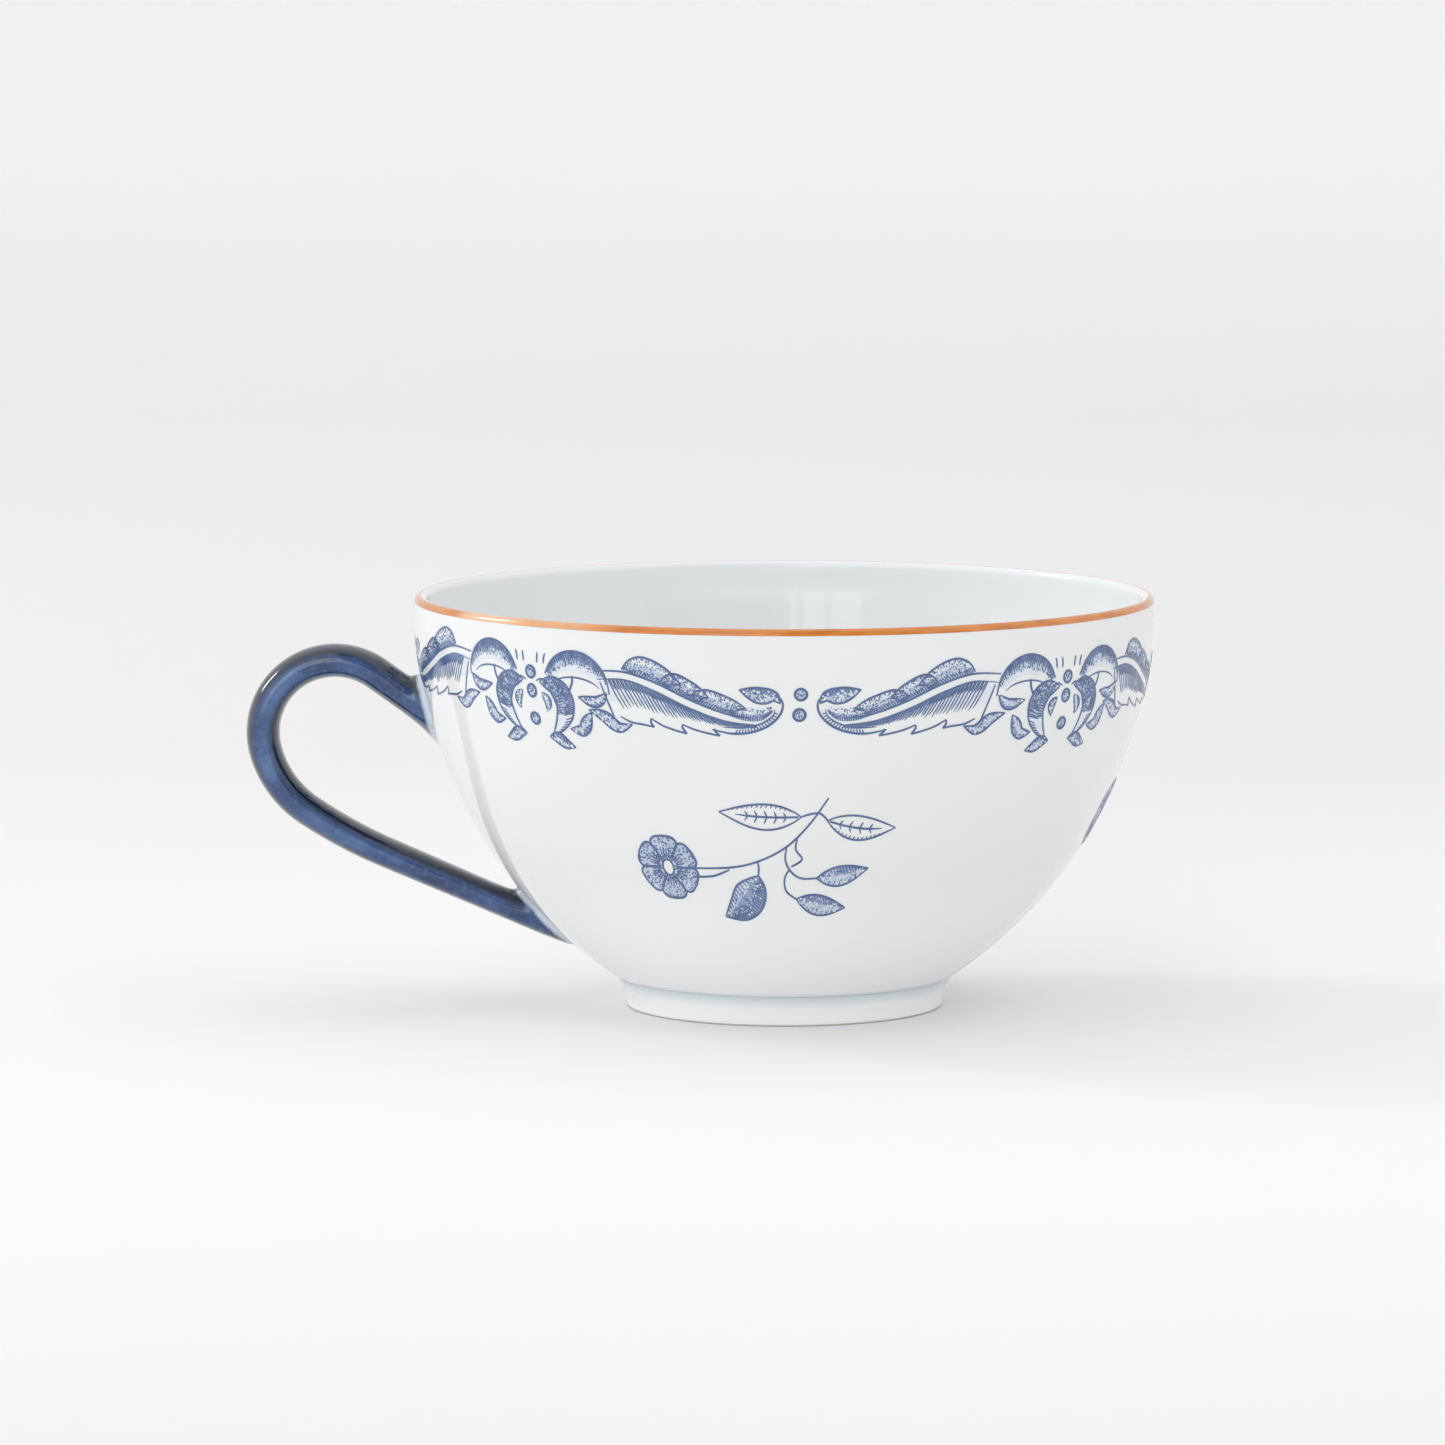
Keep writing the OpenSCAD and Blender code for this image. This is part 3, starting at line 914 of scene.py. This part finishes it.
def border_leaf(art, rng):
    """A long acanthus leaf from the scrolls to the dots: three stippled lobes above its
    rib, a hatched belly with a barbed hem below, and a curled tip."""
    rib = [(30.2, 7.1), (25.4, 6.9), (20.6, 8.1), (15.4, 10.3), (10.4, 12.0), (6.4, 12.6)]
    under = [(29.8, 8.3), (25.4, 8.0), (20.8, 9.3), (15.8, 11.4), (10.8, 13.0), (6.0, 13.5)]
    hem = [(27.4, 14.3), (23.0, 13.9), (17.6, 14.3), (12.4, 14.5), (7.6, 14.6), (5.0, 14.2)]
    art.stroke(rib, 0.32, 0.6, 0.4)
    art.stroke(under, 0.26, 0.4, 0.4)
    above = Patch(rib, [(x, d - 2.0) for x, d in rib])
    for u, wide, high in ((0.19, 0.27, 1.45), (0.43, 0.22, 1.35), (0.62, 0.24, 1.25)):
        lobe = Patch(
            [above.at(u + wide * t, 0.08) for t in (0, 0.35, 0.7, 1.05)],
            [above.at(u + wide * t, high * v) for t, v in (
                (-0.05, 0.1), (0.12, 0.62), (0.42, 0.98), (0.8, 1.0), (1.12, 0.84), (1.36, 0.52))],
        )
        lobe.fill(art, PALE)
        lobe.fill(art, WASH, 0.0, 0.6)
        lobe.edges(art, 0.32, base=False)
        lobe.stipple(art, rng, 130, size=0.105)
        lobe.hatch(art, rng, 17, 0.0, 0.32, 0.05, 1.0, 0.05, 0.2)
        lobe.hatch(art, rng, 9, 0.99, 0.78, 0.15, 0.95, 0.02, 0.18)
        art.stroke([lobe.at(1.0, 1.0), lobe.at(0.97, 0.72), lobe.at(0.95, 0.42)], 0.34, 0.6, 0.4)
    belly = Patch(under, hem)
    belly.fill(art, PALE, 0.0, 0.5, 0.03, 0.98)
    belly.fill(art, WASH, 0.0, 0.42, 0.42, 0.98)
    belly.fill(art, MID, 0.0, 0.20, 0.46, 0.94)
    belly.hatch(art, rng, 15, 0.0, 0.72, 0.06, 0.44, 0.035, 0.20, 0.2)
    belly.hatch(art, rng, 15, 0.0, 0.26, 0.07, 0.45, 0.015, 0.20, 0.3)
    belly.hatch(art, rng, 26, 0.0, 0.60, 0.42, 0.97, 0.02, 0.21, 0.25)
    belly.hatch(art, rng, 22, 0.0, 0.24, 0.44, 0.97, 0.006, 0.22, 0.5)
    art.stroke([belly.at(0.015, v) for v in (0.05, 0.35, 0.7, 0.95)], 0.26, 0.6, 0.5)
    for k in range(3):
        u, wide, drop = 0.06 + 0.21 * k, 0.21, 0.10 * k
        art.stroke([belly.at(u + wide * t, 1 + v) for t, v in (
            (0, -0.14), (0.3, 0.0), (0.7, 0.05 + drop / 2), (1.0, 0.08 + drop))], 0.28, 0.6, 0.9)
        art.stroke([belly.at(u + wide, 1.08 + drop), belly.at(u + wide * 0.94, 0.98),
                    belly.at(u + wide, 0.86)], 0.32, 0.8, 0.5)
    art.stroke([
        (12.6, 14.3), (9.6, 14.8), (6.8, 14.5), (4.4, 13.5), (2.8, 11.9), (2.5, 10.2), (3.6, 8.9),
    ], 0.34, 0.5, 0.8)
    art.stroke([(11.0, 13.9), (8.0, 13.9), (5.6, 13.3), (3.9, 12.2), (3.6, 11.2)], 0.24, 0.3, 0.4)
    turn = Patch(
        [(9.2, 14.0), (6.6, 13.6), (4.8, 12.6), (3.8, 11.4)],
        [(9.4, 14.7), (6.4, 14.3), (4.0, 13.1), (2.9, 11.4)],
    )
    turn.fill(art, PALE)
    turn.hatch(art, rng, 16, 1.0, 0.15, 0.0, 0.96, 0.02, 0.18)
    tip = Patch(
        [(10.2, 12.2), (7.8, 12.9), (5.4, 12.8), (3.9, 11.6)],
        [(10.4, 10.4), (8.2, 10.8), (6.0, 11.0), (3.8, 10.8)],
    )
    tip.fill(art, PALE)
    tip.fill(art, WASH, 0.0, 0.5)
    tip.stipple(art, rng, 90, size=0.105)
    tip.hatch(art, rng, 20, 0.0, 0.5, 0.02, 0.98, 0.03, 0.2)
    curl = blade([(2.8, 10.4), (3.8, 9.3), (5.6, 9.3), (8.6, 8.5)], 2.2, 0.5)
    shaded(art, rng, curl, 14, 0.5)
    heel = blade([(24.6, 14.3), (26.8, 14.9), (29.0, 13.5), (31.5, 12.8)], 1.7, 0.5)
    shaded(art, rng, heel, 10, 0.3)


def scroll_side(art, rng):
    """The right half of a scroll cluster, from its middle line outwards."""
    def bow(rx, ry, start, stop):
        return [
            (8.0 - rx * math.cos(rad(a)), 10.3 - ry * math.sin(rad(a)))
            for a in range(start, stop + 1, 20)
        ]

    arch = Patch(bow(4.5, 2.4, 20, 180), bow(5.6, 5.6, 20, 180))
    arch.fill(art, PALE, 0.1, 1.0, 0.0, 0.9)
    arch.fill(art, WASH, 0.40, 1.0, 0.0, 0.82)
    arch.fill(art, MID, 0.68, 1.0, 0.04, 0.74)
    arch.edges(art, 0.36, base=False)
    arch.hatch(art, rng, 34, 0.98, 0.36, 0.02, 0.90, 0.015, 0.19, 0.2, ragged=0.6)
    arch.hatch(art, rng, 24, 0.98, 0.72, 0.04, 0.80, 0.01, 0.21, 0.5)
    arch.stipple(art, rng, 120, 0.3, 0.95, 0.03, 0.7, 0.1)
    art.stroke(bow(4.3, 1.9, 40, 160), 0.24, 0.5, 0.3)
    art.stroke([(7.6, 8.2), (7.5, 9.2), (7.0, 10.3)], 0.36, 0.4, 0.9)
    shaded(art, rng, blade([(13.2, 10.2), (11.4, 11.6), (8.4, 11.1)], 1.5), 9, 0.35)
    drape = blade([(1.6, 9.7), (4.6, 10.1), (6.0, 12.6), (5.0, 15.2), (2.9, 17.4)], 3.2, 0.42)
    drape.fill(art, PALE)
    drape.fill(art, WASH, 0.0, 1.0, 0.05, 0.62)
    drape.fill(art, MID, 0.0, 0.85, 0.08, 0.46)
    drape.edges(art, 0.30)
    drape.hatch(art, rng, 28, 0.98, 0.15, 0.06, 0.62, 0.02, 0.2, 0.2, ragged=0.6)
    drape.hatch(art, rng, 14, 0.02, 0.5, 0.08, 0.60, 0.02, 0.2)
    drape.stipple(art, rng, 90, u0=0.05, u1=0.62, size=0.11)
    drape.stipple(art, rng, 60, 0.12, 0.88, 0.10, 0.58, 0.14, WASH)
    drape.hatch(art, rng, 7, 0.94, 0.58, 0.64, 0.92, 0.03, 0.18)
    shaded(art, rng, blade([(2.3, 17.5), (3.8, 17.5), (5.2, 18.2), (6.8, 18.6)], 1.7), 8, 0.5)
    shaded(art, rng, blade([(10.4, 13.2), (9.6, 14.4), (8.6, 15.9), (6.4, 15.9)], 1.8), 9, 0.4)
    shaded(art, rng, blade([(1.9, 11.2), (2.9, 12.4), (2.6, 13.9)], 1.2), 5, 0.4, 0.24)
    for x, lean in ((1.3, 0.15), (2.5, 0.35)):
        art.stroke([(x, 7.0), (x + lean * 0.3, 6.2), (x + lean, 5.5)], 0.28, 0.5, 0.5)
    art.stroke([(1.0, 9.6), (2.0, 9.2), (3.2, 9.5)], 0.24, 0.6, 0.3)


QUARTER = math.pi / 2 * RIM_R
CLUSTER_X = QUARTER / 2 + 0.9


def border_art(lower_dot):
    """One quarter of the border, centred on its two dots, with its scrolls to the right."""
    art = Transfer()
    rng = random.Random(11)
    bead(art, rng, (0.1, 9.1), 1.0, 0.95)
    if lower_dot:
        bead(art, rng, (-0.1, 12.0), 1.0, 0.98)
    for flip in (1, -1):
        border_leaf(art.placed(flip), rng)
        scroll_side(art.placed(flip, (CLUSTER_X, 0.0)), rng)
    middle = art.placed(1, (CLUSTER_X, 0.0))
    for depth, rx, ry in ((8.4, 1.0, 1.0), (11.1, 0.95, 1.05), (15.1, 1.0, 0.95)):
        bead(middle, rng, (0.0, depth), rx, ry)
    return art


PETALS = 6
PETAL_SIDE = [(0.22, 0.6), (0.5, 0.98), (0.84, 0.99), (0.98, 0.62), (1.0, 0.0)]


def petal_flower(art, rng, centre, size, turn):
    """A flower with a pale eye and stippled petals, a little wider than high."""
    width = math.pi / PETALS

    def out(middle, r, side):
        """The point at the share r of the size, side half-petals from a middle line."""
        angle = middle + side * width
        return (
            centre[0] + size * 1.12 * r * math.cos(angle),
            centre[1] + size * r * math.sin(angle),
        )

    for k in range(PETALS):
        middle = rad(turn) + 2 * width * k
        petal = Patch(*(
            [out(middle, r, side * sign) for r, side in PETAL_SIDE] for sign in (1, -1)
        ))
        petal.fill(art)
        petal.edges(art, 0.36)
        petal.stipple(art, rng, 110, 0.06, 0.94, 0.1, 0.97, 0.12)
        for side in (-0.5, -0.2, 0.15, 0.5):
            art.stroke([
                out(middle, r, side * share) for r, share in ((0.3, 0.8), (0.46, 1), (0.6, 1))
            ], 0.2, 1.0, 0.2)
    art.stroke(round_line(*centre, size * 0.20, size * 0.25), 0.3, 1.0, 1.0)


def open_leaf(art, spine, width, veins):
    """An outlined leaf with a midrib and short paired veins."""
    leaf = blade(spine, width, 0.44)
    leaf.edges(art, 0.30)
    leaf.hatch(art, random.Random(veins), 14, 0.02, 0.16, 0.12, 0.9, 0.02, 0.16)
    art.stroke([leaf.at(u, 0.5) for u in (0.04, 0.3, 0.55, 0.8)], 0.3, 0.9, 0.3)
    for k in range(veins):
        u = 0.2 + 0.56 * k / veins
        for v in (0.76, 0.26):
            art.stroke([leaf.at(u, 0.5), leaf.at(u + 0.035, v)], 0.24, 1.0, 0.4)


def sprig_art():
    """A flower on a bowed stem, with two open leaves and three shaded ones."""
    art = Transfer(1, (1.9, 0.0))
    rng = random.Random(23)
    petal_flower(art, rng, (-20.2, 34.9), 4.85, 30)
    for points in (
        [(-16.2, 34.9), (-9.0, 34.6), (-4.0, 33.5), (0.5, 31.3), (4.0, 28.0), (6.8, 24.1)],
        [(-16.0, 36.2), (-12.4, 36.0), (-9.4, 35.0)],
        [(2.6, 26.9), (4.0, 26.5), (5.6, 26.4), (7.0, 27.6)],
        [(-4.4, 33.8), (-4.3, 34.8), (-4.5, 36.0)],
        [(0.4, 31.4), (0.2, 33.4), (1.2, 35.2), (3.0, 36.2), (5.6, 36.2)],
        [(1.0, 34.7), (0.1, 36.2), (0.4, 38.2), (2.2, 39.4)],
        [(2.1, 30.2), (1.9, 31.8), (3.0, 33.3), (1.2, 34.4)],
    ):
        art.stroke(points, 0.32, 0.8, 0.8)
    open_leaf(art, [(2.7, 26.9), (-3.6, 26.9), (-10.2, 26.2)], 3.8, 5)
    open_leaf(art, [(6.8, 27.5), (12.0, 28.7), (18.0, 28.8)], 3.6, 4)
    dark_leaf = blade([(-4.4, 35.8), (-5.6, 38.4), (-7.8, 40.6), (-11.3, 42.3)], 5.6, 0.42)
    shaded(art, rng, dark_leaf, 26, 0.7, 0.36)
    shaded(art, rng, blade([(5.6, 36.2), (9.8, 35.9), (14.5, 34.8)], 3.0), 16, 0.45)
    shaded(art, rng, blade([(2.2, 39.4), (6.8, 40.5), (11.5, 40.9)], 3.1), 16, 0.45)
    return art


def border_rise(a):
    """How much higher than at the front the border is at a degrees from the front."""
    b = a - 360 if a > 180 else a
    if not -RISE_SPAN < b < 0:
        return 0.0
    return BORDER_RISE * math.sin(rad(180 * b / RISE_SPAN)) ** 2


def lay(name, node, art, turn, rise=lambda a: 0.0):
    """Lays a finished transfer on the wall, turned round the cup by turn degrees, as one
    closed skin for each mark. rise gives how far it is raised at an angle from the front."""
    n = len(art.verts)
    verts = []
    for skin in (0, SKIN):
        for x, depth, lift in art.verts:
            a = turn + math.degrees(x / RIM_R)
            verts.append(wall_point(rad(a) * RIM_R, depth - rise(a), lift - skin))
    out = [Vector(p) - Vector(q) for p, q in zip(verts, verts[n:])]
    faces, tones = list(art.faces), list(art.tones)
    tops = len(faces)
    edges = {}
    for face, tone in zip(art.faces, art.tones):
        faces.append(tuple(v + n for v in reversed(face)))
        tones.append(tone)
        for a, b in zip(face, face[1:] + face[:1]):
            edges[(a, b)] = tone
    for (a, b), tone in edges.items():
        if (b, a) not in edges:
            faces.append((b, a, a + n, b + n))
            tones.append(tone)
    piece = mesh_object(name, verts, faces, [MATERIALS[tone] for tone in TONES])
    mesh = piece.data
    mesh.polygons.foreach_set("material_index", tones)
    shading = []
    for face in mesh.polygons:
        on_top = face.index < tops
        shading += [out[v].normalized() if on_top else face.normal for v in face.vertices]
    mesh.normals_split_custom_set(shading)
    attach(piece, "root")
    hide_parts(node)


def decoration():
    """Four lengths of border and three sprigs. The handle leaves no room for a fourth sprig
    or, on the left, for the border's lower dot."""
    for name, turn in (("front", 0), ("right", 90), ("back", 180), ("left", 270)):
        art = border_art(lower_dot=name != "left")
        lay(f"border_print_{name}", f"border_{name}", art, turn + BORDER_TURN, border_rise)
    sprig = sprig_art()
    lay("sprig_print_front", "sprig_front", sprig, SPRIG_TURN)
    right = 90 + SPRIG_TURN + SPRIG_LAG
    lay("sprig_print_right", "sprig_right", sprig, right, lambda a: SPRIG_RISE)
    lay("sprig_print_back", "sprig_back", sprig, 180 + SPRIG_TURN)


# ---- stage, light, camera ----

def stage():
    """A pale sweep, in metres: a level floor that curves up into a backdrop far behind."""
    front, back, bend_r, top, side = -4.0, 2.4, 1.2, 3.0, 5.0
    outline = [(front, 0.0), (-1.0, 0.0), (back * 0.5, 0.0), (back, 0.0)]
    outline += [
        (back + bend_r * math.sin(rad(a)), bend_r * (1 - math.cos(rad(a))))
        for a in range(5, 91, 5)
    ]
    outline.append((back + bend_r, top))
    verts = [(x / MM, y / MM, z / MM) for y, z in outline for x in (-side, side)]
    faces = [(k, k + 1, k + 3, k + 2) for k in range(0, len(verts) - 2, 2)]
    material, nodes, links, shader = new_material("paper_sweep")
    distance = added(nodes, links, position(nodes, links)["Y"], noise(nodes, links, 3, 2), 0.1)
    # painted light: the paper is painted brighter in a band close about the cup, lifting its
    # shadow, and brighter up the backdrop's top, where less light falls
    paper_and_painted_light = ramp(nodes, links, span(nodes, links, distance, -1.0, 4.0), [
        (0.13, (0.815, 0.805, 0.801)), (0.18, (0.89, 0.882, 0.878)), (0.21, (0.89, 0.882, 0.878)),
        (0.27, (0.80, 0.789, 0.785)), (0.45, (0.80, 0.789, 0.785)), (0.75, (0.93, 0.921, 0.916)),
    ])
    links.new(paper_and_painted_light, shader.inputs["Base Color"])
    shader.inputs["Roughness"].default_value = 0.9
    shader.inputs["Specular IOR Level"].default_value = 0.1
    mesh_object("paper_sweep", verts, faces, [material])


def area_light(name, at, aim, size, energy, colour=(1, 1, 1)):
    data = bpy.data.lights.new(name, "AREA")
    data.shape = "RECTANGLE"
    data.size, data.size_y = size
    data.energy = energy
    data.color = colour
    light = bpy.data.objects.new(name, data)
    light.location = at
    light.rotation_euler = (Vector(aim) - Vector(at)).to_track_quat("-Z", "Y").to_euler()
    SCENE.collection.objects.link(light)


def lights():
    """A bright room, darker behind the viewer's right shoulder, with a small window far to
    the left, a low pale card in front and a window of three tall panes behind the viewer."""
    world = bpy.data.worlds.new("studio")
    world.use_nodes = True
    nodes, links = world.node_tree.nodes, world.node_tree.links
    walls = ramp(nodes, links, bearing(nodes, links, "Generated"), [
        (0.0, grey(0.71)), (0.24, grey(0.78)), (0.36, (0.72, 0.73, 0.74)),
        (0.40, (0.81, 0.82, 0.83)), (0.49, (0.81, 0.82, 0.83)), (0.505, (0.30, 0.30, 0.31)),
        (0.625, (0.34, 0.34, 0.35)), (0.64, grey(0.78)), (1.0, grey(0.71)),
    ])
    background = nodes["Background"]
    links.new(walls, background.inputs["Color"])
    background.inputs["Strength"].default_value = 1.465
    SCENE.world = world
    cool = (0.99, 0.99, 1.0)
    area_light("window_left", (-1.36, 0.54, 0.85), (0, 0, 0.03), (0.26, 0.45), 4.1, cool)
    area_light("low_front_card", (0.1, -1.7, 0.14), (0, 0, 0.02), (2.4, 0.26), 1.5)
    distance, height, watts_per_metre = 2.4, 0.95, 7
    for angle, width in ((3, 0.10), (10, 0.30), (21, 0.42)):
        at = (-distance * math.sin(rad(angle)), -distance * math.cos(rad(angle)), height)
        size = (width, 1.4)
        area_light(f"window_pane_{angle}", at, (0, 0, height), size, watts_per_metre * width)


CAMERA_DISTANCE = 1.100  # metres in front of the cup's axis
CAMERA_SLOPE = 0.0948    # its rise above the lip for each metre of distance
CAMERA_DIP = 0.98        # degrees that it looks below the middle of the lip
CAMERA_YAW = 0.47        # degrees that it looks to the left of the axis, for the handle
LENS = 188.4
SENSOR = 36


def camera():
    """A long lens, looking a little down at the lip."""
    data = bpy.data.cameras.new("camera")
    data.lens = LENS
    data.sensor_width = SENSOR
    data.clip_end = 50
    cam = bpy.data.objects.new("camera", data)
    cam.location = (0, -CAMERA_DISTANCE, CUP_H * MM + CAMERA_DISTANCE * CAMERA_SLOPE)
    pitch = math.atan(CAMERA_SLOPE) + rad(CAMERA_DIP)
    cam.rotation_euler = (math.pi / 2 - pitch, 0, rad(CAMERA_YAW))
    SCENE.collection.objects.link(cam)
    SCENE.camera = cam


camera()
stage()
lights()
bowl()
foot_ring()
lip_line()
handle()
decoration()
SCENE.view_settings.view_transform = "Standard"
